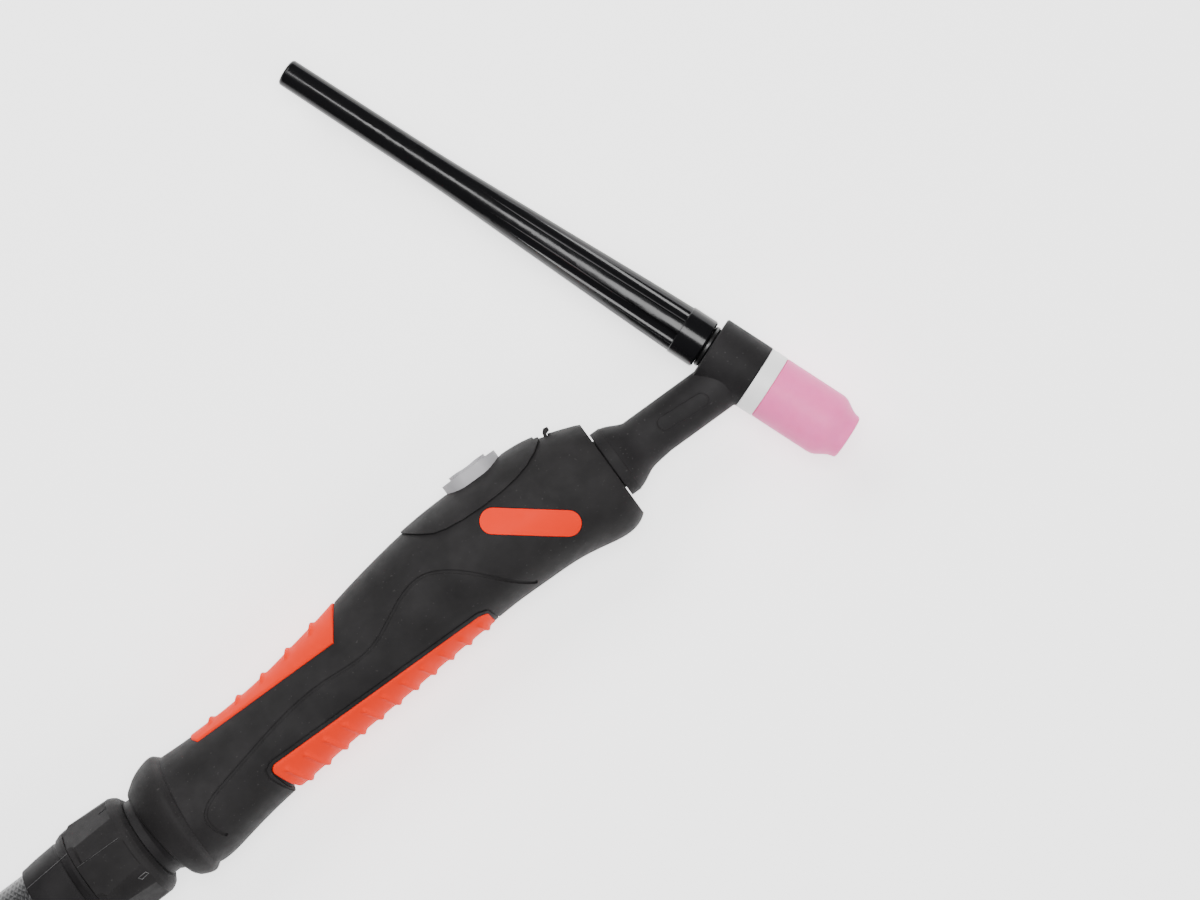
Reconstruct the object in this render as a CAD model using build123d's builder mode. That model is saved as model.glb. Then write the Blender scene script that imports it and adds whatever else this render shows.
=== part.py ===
from build123d import *
import math
import os

os.makedirs("parts", exist_ok=True)

# ---------------------------------------------------------------------------
# A water-cooled TIG torch lying on its side on a bench: head with ceramic cup and long back
# cap, moulded two-half grip with a push switch, ball knuckle, and a 4 m covered hose package.
#
# Frame: +X forward along the grip, +Y across it towards the switch, +Z up off the bench.
# The grip's own stations are written as (s, t, z): s along it from the knuckle, t across it
# and z out of its mid-plane. The origin is under the middle of the torch, on the bench.
# ---------------------------------------------------------------------------
MIDDLE_S, MIDDLE_T = 94.4, 68.85     # middle of the torch, in grip stations
BELL_R = 20.0                        # the widest round of the torch, which lies on the bench
AXIS_HEIGHT = BELL_R

# Knuckle
BALL_S, BALL_R, STEM_R = -2.8, 15.2, 13.2
BELL_LEAN = 4.5                      # degrees the grip is turned from the hose at rest
SEAT_R, SEAT_BACK, SEAT_FRONT = 16.2, -3.5, 4.9
SEAT_CLEARANCE = 0.07
RIM_X = -6.1                         # the bell's rear rim, from the ball's centre
LIP_R = 14.45
PACKAGE_BORE = 10.5

# Grip: station, top edge, bottom edge, half width
GRIP = [
    (0.0, 17.6, -18.6, 17.9),
    (7.0, 17.7, -18.6, 17.7),
    (14.0, 17.5, -17.3, 17.0),
    (22.0, 17.6, -15.9, 16.2),
    (32.0, 18.0, -14.6, 15.4),
    (44.0, 19.2, -13.4, 14.8),
    (56.0, 21.2, -12.3, 14.7),
    (68.0, 23.4, -11.5, 15.0),
    (80.0, 26.0, -10.7, 15.6),
    (92.0, 28.2, -9.7, 16.2),
    (104.0, 29.9, -8.9, 16.8),
    (116.0, 30.8, -8.2, 17.3),
    (128.0, 31.0, -8.0, 17.5),
    (140.0, 31.1, -8.2, 17.3),
    (150.0, 30.6, -9.3, 16.9),
    (158.0, 28.6, -10.8, 16.3),
    (164.0, 26.5, -10.6, 15.6),
    (168.0, 24.8, -8.5, 14.6),
]
WALL = 2.2
FRONT_S = GRIP[-1][0]

# Neck and head
NECK_T, NECK_R, NECK_BORE = 9.7, 7.75, 6.2
NECK_REAR, NECK_FRONT = 150.0, 210.8
HEAD_S, HEAD_T, HEAD_ANGLE = 217.7, 10.45, -69.1
HEAD_R, HEAD_BACK, HEAD_FRONT = 10.5, -10.7, 5.6
CORE_R = 6.35
RING_R, CUP_BACK, CUP_TIP = 10.4, 11.1, 39.7
CUP_R, CUP_TIP_R, CUP_BORE = 10.3, 7.3, 4.75
ELECTRODE_R = 1.2                    # collet for a 2.4 mm electrode
CAP_COLLAR_R, CAP_END = 8.05, -165.6
FLUTES = 6

# Hose package
COVER_R = 13.5
LANE = 2 * COVER_R                   # strands lie side by side
LIFT = 1.5                           # the hank stands this much off the bench, on its ties
HANK_RIGHT, HANK_LEFT = -188.0, -395.0
HANK_T = 92.5
OUTER_LANE = 108.0
INNER_LANE = OUTER_LANE - LANE
LOW = LIFT + COVER_R
TAIL_R = 65.0                        # the last turn, inside the hank
TAIL_END = -335.0
BOOT_LENGTH = 45.0


def at(s, t, z=0.0):
    """A point of the grip's stations, in the part's frame."""
    return Vector(s - MIDDLE_S, t - MIDDLE_T, AXIS_HEIGHT + z)


def on_bench(s, t, height):
    """A point over the bench, in the part's frame."""
    return Vector(s - MIDDLE_S, t - MIDDLE_T, height)


def across(s, t=0.0, z=0.0):
    """The plane square to the grip at s, its x along +t and its y along +z."""
    return Plane(origin=at(s, t, z), x_dir=(0, 1, 0), z_dir=(1, 0, 0))


def flat(z=0.0):
    """The plane parallel to the bench at z from the mid-plane, its x along s and its y along t."""
    return Plane(origin=at(0, 0, z), x_dir=(1, 0, 0), z_dir=(0, 0, 1))


def pointing(s, t, angle):
    """The mid-plane with its x along a direction in it, from (s, t)."""
    turn_to = math.radians(angle)
    return Plane(origin=at(s, t), x_dir=(math.cos(turn_to), math.sin(turn_to), 0), z_dir=(0, 0, 1))


STEM = pointing(BALL_S, 0, 0)
BELL = pointing(BALL_S, 0, BELL_LEAN)
BARREL = pointing(-0.4, -0.05, -5.5)     # the bell's skin leans forward over its rim
HEAD = pointing(HEAD_S, HEAD_T, HEAD_ANGLE)
NECK = pointing(0, NECK_T, 0)
FLANGE = pointing(0, 9.25, 0)


def turned(plane, outline, mode=Mode.ADD):
    """A round body from (distance, radius) points, about the plane's x axis."""
    with BuildSketch(plane) as section:
        with BuildLine():
            Polyline(*outline, close=True)
        make_face()
    revolve(section.sketch, axis=Axis(plane.origin, plane.x_dir), mode=mode)


def rod(plane, start, end, radius, mode=Mode.ADD):
    """A cylinder along the plane's x axis."""
    turned(plane, [(start, 0), (start, radius), (end, radius), (end, 0)], mode)


def pipe(plane, start, end, radius, bore):
    """A pipe along the plane's x axis."""
    turned(plane, [(start, bore), (start, radius), (end, radius), (end, bore)])


def grip_solid(grow):
    """The grip's outside, grown or shrunk by an even skin."""
    ends = 0.0 if grow >= 0 else WALL
    with BuildPart() as body:
        for s, top, bottom, half in GRIP:
            station = min(s, FRONT_S - ends) if s > FRONT_S / 2 else s
            with BuildSketch(across(station, (top + bottom) / 2)):
                Ellipse((top - bottom) / 2 + grow, half + grow)
        loft()
    return body.part


def save(built, label):
    built.part.label = label
    export_step(built.part, f"parts/{label}.step")


def slab(outline, low=-40.0, high=40.0):
    """A slab with a side-view outline of (s, t) points, between two heights from the mid-plane."""
    with BuildPart() as body:
        with BuildSketch(flat(low)):
            with BuildLine():
                Polyline(*outline, close=True)
            make_face()
        extrude(amount=high - low)
    return body.part


def tube(points, radius):
    """A round tube on a route of straight runs joined by the largest arcs that the runs allow."""
    runs = [(b - a).length for a, b in zip(points, points[1:])]
    turns = [
        math.radians((b - a).get_angle(c - b)) for a, b, c in zip(points, points[1:], points[2:])
    ]
    radii = [
        0.45 * min(before, after) / math.tan(turning / 2)
        for before, after, turning in zip(runs, runs[1:], turns)
    ]
    print("  arc radii:", [round(r) for r in radii], "at least", round(5 * 2 * radius))
    with BuildPart() as body:
        with BuildLine() as route:
            FilletPolyline(*points, radius=radii)
        with BuildSketch(Plane(origin=points[0], z_dir=points[1] - points[0])):
            Circle(radius)
        sweep(path=route.wires()[0])
    length = sum(edge.length for edge in route.edges())
    print("  length", round(length, 1), "volume ratio",
          round(body.part.volume / (math.pi * radius**2 * length), 4))
    return body.part


# ---------------------------------------------------------------- the grip's skins
SKIN = grip_solid(0.0)
CAVITY = grip_solid(-WALL)
POCKET = grip_solid(-1.6)
SCORE = grip_solid(-0.4)

UPPER_OUTLINE = [(15.5, 40), (15.5, 17.2), (17.6, 15.0), (69.0, 15.0), (75.5, 25.0), (76.5, 40)]
LOWER_OUTLINE = [
    (34.4, -30), (31.0, -6.6), (31.4, -4.9), (33.0, -4.0), (109.0, -4.4), (111.4, -5.2),
    (112.0, -7.0), (112.0, -30),
]
SADDLE_OUTLINE = [
    (102.8, 40), (104.5, 30.0), (108.8, 26.7), (113.0, 24.1), (117.0, 23.0), (122.5, 22.3),
    (130.0, 22.0), (137.5, 22.3), (143.0, 23.0), (148.0, 24.3), (152.0, 26.1), (155.2, 28.4),
    (156.2, 40),
]
BUTTON_S = 132.35
SWOOSH = [
    (9.0, -13.0), (7.8, -4.5), (20.0, 0.7), (40.0, 5.2), (60.0, 7.1), (77.0, 7.0), (90.0, 12.5),
    (103.0, 15.5), (108.0, 13.5), (120.0, 2.5), (129.5, -6.3),
]
UPPER_RIBS = [24.0, 34.5, 44.5, 55.0, 65.5]
LOWER_RIB_PITCH, LOWER_RIBS = 7.05, 11
BADGE_S, BADGE_T, BADGE_LENGTH, BADGE_WIDTH, BADGE_ANGLE = 138.7, 9.6, 31.0, 8.2, -38.0
BADGE_DEPTH = 1.0

upper_slab = slab(UPPER_OUTLINE)
lower_slab = slab(LOWER_OUTLINE)
saddle_slab = slab(SADDLE_OUTLINE)


def badge_slab(shrink):
    with BuildPart() as body:
        with BuildSketch(Plane(origin=at(BADGE_S, BADGE_T), x_dir=(
                math.cos(math.radians(BADGE_ANGLE)), math.sin(math.radians(BADGE_ANGLE)), 0),
                z_dir=(0, 0, 1))):
            SlotOverall(BADGE_LENGTH - 2 * shrink, BADGE_WIDTH - 2 * shrink)
        extrude(amount=40)
    return body.part


with BuildPart() as scored_lines:
    with BuildSketch(flat(-40)):
        with BuildLine() as swoosh_line:
            Spline(*SWOOSH)
        trace(line_width=1.0)
        with BuildLine() as border:
            Polyline((33.0, -17), (29.4, -6.4), (30.0, -4.0), (32.6, -2.7), (109.4, -3.1),
                     (112.6, -4.2), (113.4, -7), (113.4, -12))
        trace(line_width=0.5)
    extrude(amount=80)
    add(SCORE, mode=Mode.SUBTRACT)

# ---------------------------------------------------------------- grip shells
SCREWS = [(24.0, -10.5), (92.0, 22.6), (158.0, -3.5)]
SCREW_R, SCREW_HEAD_R, BOSS_R = 1.5, 2.75, 3.9
SCREW_HEAD_Z, SCREW_HEAD_H, SCREW_TIP = -6.0, 2.4, 8.0


with BuildPart() as bell_skin:
    turned(BARREL, [(-12, 0), (-12, 12.6), (-10.5, 14.5), (-9, 15.8), (-8, 16.65), (-7, 17.35),
                    (-6, 17.95), (-5, 18.45), (-4, 18.9), (-3, 19.3), (-2, 19.65), (-1, 19.9),
                    (-0.2, BELL_R), (0.4, BELL_R), (1.0, 19.8), (1.5, 19.45), (2.0, 19.0),
                    (2.6, 18.6), (3.6, 16.9), (3.6, 0)])
    turned(BELL, [(RIM_X, 0), (RIM_X, 14.9), (-5.9, 15.7), (-5.5, 17.1), (-4.5, 18.35), (-3, 19.5),
                  (-1, 20.8), (12, 24), (12, 0)], Mode.INTERSECT)


def grip_shell(side):
    """Half of the grip, on the side of its mid-plane that side gives as +1 or -1."""
    with BuildPart() as shell:
        add(bell_skin.part)
        add(SKIN)
        add(CAVITY, mode=Mode.SUBTRACT)
        # the knuckle's seat, its lip and room for the ball
        rod(BELL, SEAT_BACK - 0.05, SEAT_FRONT + 0.1, SEAT_R + 0.05, Mode.SUBTRACT)
        rod(BELL, RIM_X - 1, SEAT_BACK, LIP_R, Mode.SUBTRACT)
        with Locations(at(BALL_S, 0)):
            Sphere(BALL_R + 0.35, mode=Mode.SUBTRACT)
        # screw bosses, kept inside the skin
        with BuildSketch(flat()) as bosses:
            with Locations(*SCREWS):
                Circle(BOSS_R)
        boss_bars = extrude(bosses.sketch, amount=side * 30, mode=Mode.PRIVATE)
        add(boss_bars & POCKET)
        for s, t in SCREWS:
            bore = Plane(origin=at(s, t), x_dir=(0, 0, 1), z_dir=(1, 0, 0))
            if side > 0:
                rod(bore, -1, SCREW_TIP + 0.5, SCREW_R + 0.03, Mode.SUBTRACT)
            else:
                rod(bore, -40, SCREW_HEAD_Z + 0.02, SCREW_HEAD_R + 0.15, Mode.SUBTRACT)
                rod(bore, -40, 1, SCREW_R + 0.2, Mode.SUBTRACT)
        # pockets for the soft inserts and the switch housing
        for pocket in (upper_slab, lower_slab, saddle_slab):
            add(pocket - POCKET, mode=Mode.SUBTRACT)
        with BuildSketch(flat(-7.6)) as mouth:
            with Locations((BUTTON_S, 26)):
                Rectangle(24.0, 20.0)
        extrude(mouth.sketch, amount=15.2, mode=Mode.SUBTRACT)
        with BuildSketch(flat(-4.2)) as tab_seat:
            with BuildLine():
                Polyline((154.5, 26.2), (158.2, 26.2), (158.2, 34), (154.5, 34), close=True)
            make_face()
        extrude(tab_seat.sketch, amount=8.4, mode=Mode.SUBTRACT)
        add(scored_lines.part, mode=Mode.SUBTRACT)
        if side > 0:
            add(badge_slab(0) - grip_solid(-BADGE_DEPTH), mode=Mode.SUBTRACT)
        # the neck comes out through the front wall
        rod(NECK, NECK_REAR + 5, FRONT_S + 5, 8.7, Mode.SUBTRACT)
        # keep this side
        split(bisect_by=flat(), keep=Keep.TOP if side > 0 else Keep.BOTTOM)
    return shell


handle_left_shell = grip_shell(+1)
save(handle_left_shell, "handle_left_shell")
handle_right_shell = grip_shell(-1)
save(handle_right_shell, "handle_right_shell")

with BuildPart() as shell_screws:
    for s, t in SCREWS:
        driven = Plane(origin=at(s, t), x_dir=(0, 0, 1), z_dir=(1, 0, 0))
        rod(driven, SCREW_HEAD_Z - SCREW_HEAD_H, SCREW_HEAD_Z, SCREW_HEAD_R)
        rod(driven, SCREW_HEAD_Z, SCREW_TIP, SCREW_R)
        with BuildSketch(flat(SCREW_HEAD_Z - SCREW_HEAD_H)) as recess:
            with Locations((s, t)):
                RegularPolygon(1.3, 6)
        extrude(recess.sketch, amount=1.3, mode=Mode.SUBTRACT)
save(shell_screws, "shell_screws")


def grip_insert(outline_slab, ribs):
    """A soft insert in its pocket: an even skin over the grip, with (station, low, high) ribs."""
    with BuildPart() as insert:
        add(outline_slab)
        add(grip_solid(0.25), mode=Mode.INTERSECT)
        with BuildSketch(flat(-40)) as bars:
            for s, low, high in ribs:
                with Locations((s, (low + high) / 2)):
                    Rectangle(2.2, high - low)
        rib_bars = extrude(bars.sketch, amount=80, mode=Mode.PRIVATE)
        add(rib_bars & grip_solid(0.95))
        add(POCKET, mode=Mode.SUBTRACT)
    return insert


upper_grip_insert = grip_insert(
    upper_slab, [(s, 15.8 + 0.085 * (s - UPPER_RIBS[0]), 40.0) for s in UPPER_RIBS]
)
save(upper_grip_insert, "upper_grip_insert")
lower_grip_insert = grip_insert(
    lower_slab, [(38.0 + LOWER_RIB_PITCH * n, -30.0, -7.0) for n in range(LOWER_RIBS)]
)
save(lower_grip_insert, "lower_grip_insert")

with BuildPart() as name_badge:
    add(badge_slab(0.08))
    add(grip_solid(0.05), mode=Mode.INTERSECT)
    add(grip_solid(-BADGE_DEPTH), mode=Mode.SUBTRACT)
save(name_badge, "name_badge")

# ---------------------------------------------------------------- switch
BUTTON_LENGTH, BUTTON_WIDTH, BUTTON_TOP = 19.5, 14.0, 34.0
PAD_LENGTH, PAD_WIDTH, PAD_TOP = 13.0, 8.5, 35.0
DISH_R = 46.0
BUTTON_FLANGE_T, BUTTON_BASE_T = 26.4, 27.2


def level(t):
    """The plane square to +t, its x along s."""
    return Plane(origin=at(0, t), x_dir=(1, 0, 0), z_dir=(0, 1, 0))


def oval(low, high, length, width, mode=Mode.ADD):
    """An upright oval between two t levels, at the button."""
    with BuildSketch(level(low)) as section:
        with Locations((BUTTON_S, 0)):
            SlotOverall(length, width)
    extrude(section.sketch, amount=high - low, mode=mode)


with BuildPart() as switch_housing:
    add(saddle_slab)
    add(grip_solid(0.6), mode=Mode.INTERSECT)
    add(POCKET, mode=Mode.SUBTRACT)
    with BuildSketch(flat(-30)) as dish:
        with Locations((BUTTON_S, 30.4 + DISH_R)):
            Circle(DISH_R)
    extrude(dish.sketch, amount=60, mode=Mode.SUBTRACT)
    oval(20, 45, BUTTON_LENGTH + 0.5, BUTTON_WIDTH + 0.5, Mode.SUBTRACT)
    with BuildSketch(flat(-4.4)) as tab_gap:
        with BuildLine():
            Polyline((153.9, 25), (160, 25), (160, 40), (153.9, 40), close=True)
        make_face()
    extrude(tab_gap.sketch, amount=8.8, mode=Mode.SUBTRACT)
save(switch_housing, "switch_housing")

with BuildPart() as switch_release_tab:
    with BuildSketch(flat(-4)):
        with BuildLine():
            Polyline((154.8, 26.4), (157.9, 26.4), (158.0, 28.6), (159.4, 29.0), (159.5, 30.2),
                     (158.2, 30.4), (157.2, 29.4), (156.7, 27.6), (154.8, 27.4), close=True)
        make_face()
    extrude(amount=8)
save(switch_release_tab, "switch_release_tab")

with BuildPart() as trigger_button:
    oval(BUTTON_FLANGE_T, BUTTON_BASE_T, BUTTON_LENGTH + 1.8, BUTTON_WIDTH - 1.0)
    oval(BUTTON_BASE_T, BUTTON_TOP, BUTTON_LENGTH, BUTTON_WIDTH)
    oval(BUTTON_TOP, PAD_TOP, PAD_LENGTH, PAD_WIDTH)
    with Locations(at(BUTTON_S, 34.35 + 22.0)):
        Sphere(22.0, mode=Mode.SUBTRACT)
    oval(BUTTON_FLANGE_T - 1, 31.5, BUTTON_LENGTH - 4, BUTTON_WIDTH - 4, Mode.SUBTRACT)
    with BuildSketch(level(BUTTON_FLANGE_T)) as post:
        with Locations((BUTTON_S, 0)):
            Circle(2.2)
    extrude(post.sketch, amount=6)
save(trigger_button, "trigger_button")

SWITCH_TOP, SWITCH_BASE = 23.4, 16.6
with BuildPart() as switch_plunger:
    with BuildSketch(level(SWITCH_TOP - 2.4)) as pin:
        with Locations((BUTTON_S, 0)):
            Circle(1.2)
    extrude(pin.sketch, amount=BUTTON_FLANGE_T - SWITCH_TOP + 2.4)
save(switch_plunger, "switch_plunger")

with BuildPart() as microswitch:
    with BuildSketch(level(SWITCH_BASE)) as case:
        with Locations((BUTTON_S, 0)):
            Rectangle(20.0, 6.4)
    extrude(case.sketch, amount=SWITCH_TOP - SWITCH_BASE)
    with BuildSketch(level(SWITCH_TOP - 4.4)) as well:
        with Locations((BUTTON_S, 0)):
            Circle(1.28)
    extrude(well.sketch, amount=5, mode=Mode.SUBTRACT)
save(microswitch, "microswitch")

# ---------------------------------------------------------------- lines inside the grip
HOSE_R, HOSE_RING, CABLE_R = 4.0, 5.2, 1.5
TUBE_R, TUBE_RING = 1.9, 4.0
UNION_S, UNION_LENGTH = 104.0, 9.0
HOSE_FRONT = 12.0
LINES = {"power": 90.0, "gas": 210.0, "water": 330.0}


def ring_point(s, t, radius, angle):
    """A point beside the line's middle; 90 degrees is towards +t, 0 towards +z."""
    return at(s, t + radius * math.sin(math.radians(angle)), radius * math.cos(math.radians(angle)))


def straight(start, end, radius, mode=Mode.ADD):
    """A cylinder between two points."""
    with BuildSketch(Plane(origin=start, z_dir=end - start)) as section:
        Circle(radius)
    extrude(section.sketch, amount=(end - start).length, mode=mode)


for line, angle in LINES.items():
    with BuildPart() as package_hose:
        straight(ring_point(-49.9, 0, HOSE_RING, angle), ring_point(HOSE_FRONT, 0, HOSE_RING, angle),
                 HOSE_R)
    save(package_hose, f"package_{line}_hose")
    with BuildPart() as handle_hose:
        straight(ring_point(22, 2.0, HOSE_RING, angle),
                 ring_point(UNION_S, NECK_T, HOSE_RING, angle), HOSE_R)
    save(handle_hose, f"handle_{line}_hose")
    with BuildPart() as head_tube:
        straight(ring_point(UNION_S + 0.6, NECK_T, TUBE_RING, angle),
                 ring_point(HEAD_S, NECK_T, TUBE_RING, angle), TUBE_R)
        rod(HEAD, -20, 20, CORE_R + 0.02, Mode.SUBTRACT)
        split(bisect_by=across(HEAD_S - 4), keep=Keep.BOTTOM)
    save(head_tube, f"head_{line}_tube")

with BuildPart() as tube_nuts:
    for angle in LINES.values():
        middle = ring_point(UNION_S + 0.6, NECK_T, TUBE_RING, angle)
        with BuildSketch(Plane(origin=middle, x_dir=(0, 1, 0), z_dir=(1, 0, 0))) as hexagon:
            RegularPolygon(3.35, 6)
            Circle(TUBE_R + 0.02, mode=Mode.SUBTRACT)
        extrude(hexagon.sketch, amount=UNION_LENGTH)
save(tube_nuts, "tube_nuts")

with BuildPart() as package_switch_cable:
    straight(at(-49.9, 4.0, 6.9), at(HOSE_FRONT, 4.0, 6.9), CABLE_R)
save(package_switch_cable, "package_switch_cable")

with BuildPart() as switch_wires:
    add(tube([at(24, 6.2, 7.4), at(60, 9.6, 8.0), at(92, 13.6, 8.0), at(112, 17.8, 6.0),
              at(121.9, 19.2, 1.4)], CABLE_R))
save(switch_wires, "switch_wires")

# ---------------------------------------------------------------- knuckle
with BuildPart() as knuckle_ball:
    with BuildSketch(STEM) as section:
        with BuildLine():
            ThreePointArc((9.0, math.sqrt(BALL_R**2 - 81)), (0, BALL_R),
                          (-math.sqrt(BALL_R**2 - STEM_R**2), STEM_R))
            Polyline((-math.sqrt(BALL_R**2 - STEM_R**2), STEM_R), (-10.2, STEM_R), (-10.2, 12.0),
                     (-34.0, 12.0), (-34.0, PACKAGE_BORE), (9.0, PACKAGE_BORE),
                     (9.0, math.sqrt(BALL_R**2 - 81)))
        make_face()
    revolve(section.sketch, axis=Axis(STEM.origin, STEM.x_dir))
save(knuckle_ball, "knuckle_ball")

with BuildPart() as knuckle_seat_ring:
    seat_sphere = BALL_R + SEAT_CLEARANCE
    back_r, front_r = [math.sqrt(seat_sphere**2 - x**2) for x in (SEAT_BACK, SEAT_FRONT)]
    with BuildSketch(BELL) as section:
        with BuildLine():
            ThreePointArc((SEAT_BACK, back_r), (0, seat_sphere), (SEAT_FRONT, front_r))
            Polyline((SEAT_FRONT, front_r), (SEAT_FRONT, SEAT_R), (SEAT_BACK, SEAT_R),
                     (SEAT_BACK, back_r))
        make_face()
    revolve(section.sketch, axis=Axis(BELL.origin, BELL.x_dir))
save(knuckle_seat_ring, "knuckle_seat_ring")

NUT_BACK, NUT_FRONT, NUT_SHOULDER = -33.1, -13.1, -16.3
NUT_FLATS, NUT_FLAT_R = 6, 16.45
with BuildPart() as clamp_nut:
    turned(STEM, [(s - BALL_S, r) for s, r in [
        (NUT_BACK, 12.05), (NUT_BACK, 17.0), (-31.3, 17.15), (-30.6, 17.6), (NUT_SHOULDER, 17.1),
        (-15.2, 16.65), (-14.2, 15.95), (NUT_FRONT, 14.2), (NUT_FRONT, 12.05)]])
    with BuildSketch(across(NUT_BACK - 1)) as flats:
        Circle(25)
        RegularPolygon(NUT_FLAT_R, NUT_FLATS, major_radius=False, mode=Mode.SUBTRACT)
    extrude(flats.sketch, amount=NUT_SHOULDER - 0.5 - NUT_BACK + 1, mode=Mode.SUBTRACT)
save(clamp_nut, "clamp_nut")

SLEEVE_BACK = -50.0
with BuildPart() as cover_sleeve:
    turned(STEM, [(s - BALL_S, r) for s, r in [
        (SLEEVE_BACK, COVER_R + 0.1), (SLEEVE_BACK, 14.45), (-45.0, 15.1), (-40.0, 15.5),
        (-37.8, 15.65), (-37.5, 15.45), (-36.6, 15.5), (-36.3, 16.1), (-34.4, 16.85),
        (NUT_BACK - 0.15, 16.95), (NUT_BACK - 0.15, 12.05), (-36.75, 12.05),
        (-36.85, COVER_R + 0.1)]])
save(cover_sleeve, "cover_sleeve")

# ---------------------------------------------------------------- neck and head
with BuildPart() as head_insulation:
    rod(NECK, NECK_REAR, FRONT_S + 0.6, 8.6)
    rod(FLANGE, FRONT_S + 0.4, FRONT_S + 3.9, 11.3)
    with BuildSketch(FLANGE) as flare:
        with BuildLine():
            Spline((171.9, 11.1), (174, 10.4), (176, 9.4), (178, 8.45), (180.5, 7.9), (183, 7.6),
                   (186, 7.3), (189, 6.9))
            Polyline((189, 6.9), (189, 0), (171.9, 0), (171.9, 11.1))
        make_face()
    revolve(flare.sketch, axis=Axis(FLANGE.origin, FLANGE.x_dir))
    rod(NECK, NECK_REAR + 5, NECK_FRONT, NECK_R)
    turned(HEAD, [(HEAD_BACK, 0), (HEAD_BACK, HEAD_R - 0.4), (HEAD_BACK + 0.4, HEAD_R),
                  (HEAD_FRONT - 0.2, HEAD_R), (HEAD_FRONT, HEAD_R - 0.2), (HEAD_FRONT, 0)])
    rod(NECK, NECK_REAR - 1, HEAD_S - 3, NECK_BORE, Mode.SUBTRACT)
    rod(HEAD, HEAD_BACK + 1.2, HEAD_FRONT + 1, CORE_R + 0.03, Mode.SUBTRACT)
    rod(HEAD, HEAD_BACK - 1, 0, 5.6, Mode.SUBTRACT)
save(head_insulation, "head_insulation")

with BuildPart() as head_core:
    turned(HEAD, [(-9.4, 4.7), (-9.4, CORE_R), (HEAD_FRONT - 0.1, CORE_R),
                  (HEAD_FRONT - 0.1, 4.95), (-2.0, 4.95), (-2.0, 4.7)])
save(head_core, "head_core")

with BuildPart() as collet_body:
    turned(HEAD, [(-1.6, 2.3), (-1.6, 4.9), (CUP_BACK + 0.6, 4.9), (CUP_BACK + 0.6, 6.0),
                  (23.0, 6.0), (23.4, 4.4), (29.0, 4.0), (30.0, 3.4), (30.0, ELECTRODE_R + 0.1),
                  (26.0, ELECTRODE_R + 0.1), (24.0, 2.3)])
save(collet_body, "collet_body")

with BuildPart() as collet:
    pipe(HEAD, -1.4, 23.6, 2.25, ELECTRODE_R)
    with BuildSketch(flat(-5)) as slit:
        with Locations(Location((HEAD_S + 17 * math.cos(math.radians(HEAD_ANGLE)),
                                 HEAD_T + 17 * math.sin(math.radians(HEAD_ANGLE)), 0),
                                (0, 0, HEAD_ANGLE))):
            Rectangle(14.0, 0.5)
    extrude(slit.sketch, amount=10, mode=Mode.SUBTRACT)
save(collet, "collet")

with BuildPart() as insulator_ring:
    pipe(HEAD, HEAD_FRONT + 0.06, CUP_BACK - 0.05, RING_R, 6.1)
save(insulator_ring, "insulator_ring")

with BuildPart() as ceramic_cup:
    with BuildSketch(HEAD) as section:
        with BuildLine():
            Polyline((CUP_BACK, 6.1), (CUP_BACK, CUP_R - 0.4), (CUP_BACK + 0.4, CUP_R), (31.4, CUP_R))
            ThreePointArc((31.4, CUP_R), (32.9, 10.05), (34.1, 9.55))
            Line((34.1, 9.55), (36.1, 8.3))
            ThreePointArc((36.1, 8.3), (37.4, 7.65), (38.8, CUP_TIP_R))
            ThreePointArc((38.8, CUP_TIP_R), (39.5, 6.85), (CUP_TIP, 6.0))
            Polyline((CUP_TIP, 6.0), (CUP_TIP, CUP_BORE), (33.5, CUP_BORE), (25.0, 6.1),
                     (CUP_BACK, 6.1))
        make_face()
    revolve(section.sketch, axis=Axis(HEAD.origin, HEAD.x_dir))
save(ceramic_cup, "ceramic_cup")

with BuildPart() as back_cap_o_ring:
    turned(HEAD, [(-12.42, 4.7), (-12.42, 6.4), (-12.0, 6.9), (-11.2, 6.9), (-10.76, 6.4),
                  (-10.76, 4.7)])
save(back_cap_o_ring, "back_cap_o_ring")

# The back cap: flutes along it are cut by rods that lean in step with its taper.
FLUTE_R, FLUTE_START, FLUTE_FADE = 2.8, -21.4, -107.0
with BuildPart() as back_cap:
    with BuildSketch(HEAD) as section:
        with BuildLine():
            Spline((-21.3, 7.9), (-40, 7.4), (-60, 6.65), (-80, 5.9), (-95, 5.3), (-110, 4.85),
                   (-125, 4.68), (-150, 4.5), (CAP_END + 1.0, 4.4))
            ThreePointArc((CAP_END + 1.0, 4.4), (CAP_END + 0.3, 4.05), (CAP_END, 3.3))
            Polyline((CAP_END, 3.3), (CAP_END, 0), (-160, 0), (-158.5, 1.8), (-3.0, 1.8), (-3.0, 4.6),
                     (-12.5, 4.6), (-12.5, 7.6), (-13.0, CAP_COLLAR_R), (-21.1, CAP_COLLAR_R),
                     (-21.3, 7.9))
        make_face()
    revolve(section.sketch, axis=Axis(HEAD.origin, HEAD.x_dir))
    # ridge at 0 degrees faces +z, so the flutes stand half a pitch off it
    for n in range(FLUTES):
        around = math.radians(360 / FLUTES * (n + 0.5))
        sideways = Vector(-math.sin(math.radians(HEAD_ANGLE)), math.cos(math.radians(HEAD_ANGLE)), 0)
        outward = sideways * math.sin(around) + Vector(0, 0, 1) * math.cos(around)
        along = Vector(HEAD.x_dir)
        deep = HEAD.origin + along * FLUTE_START + outward * 9.2
        faded = HEAD.origin + along * FLUTE_FADE + outward * (4.95 + FLUTE_R)
        straight(deep, faded, FLUTE_R, Mode.SUBTRACT)
save(back_cap, "back_cap")

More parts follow.
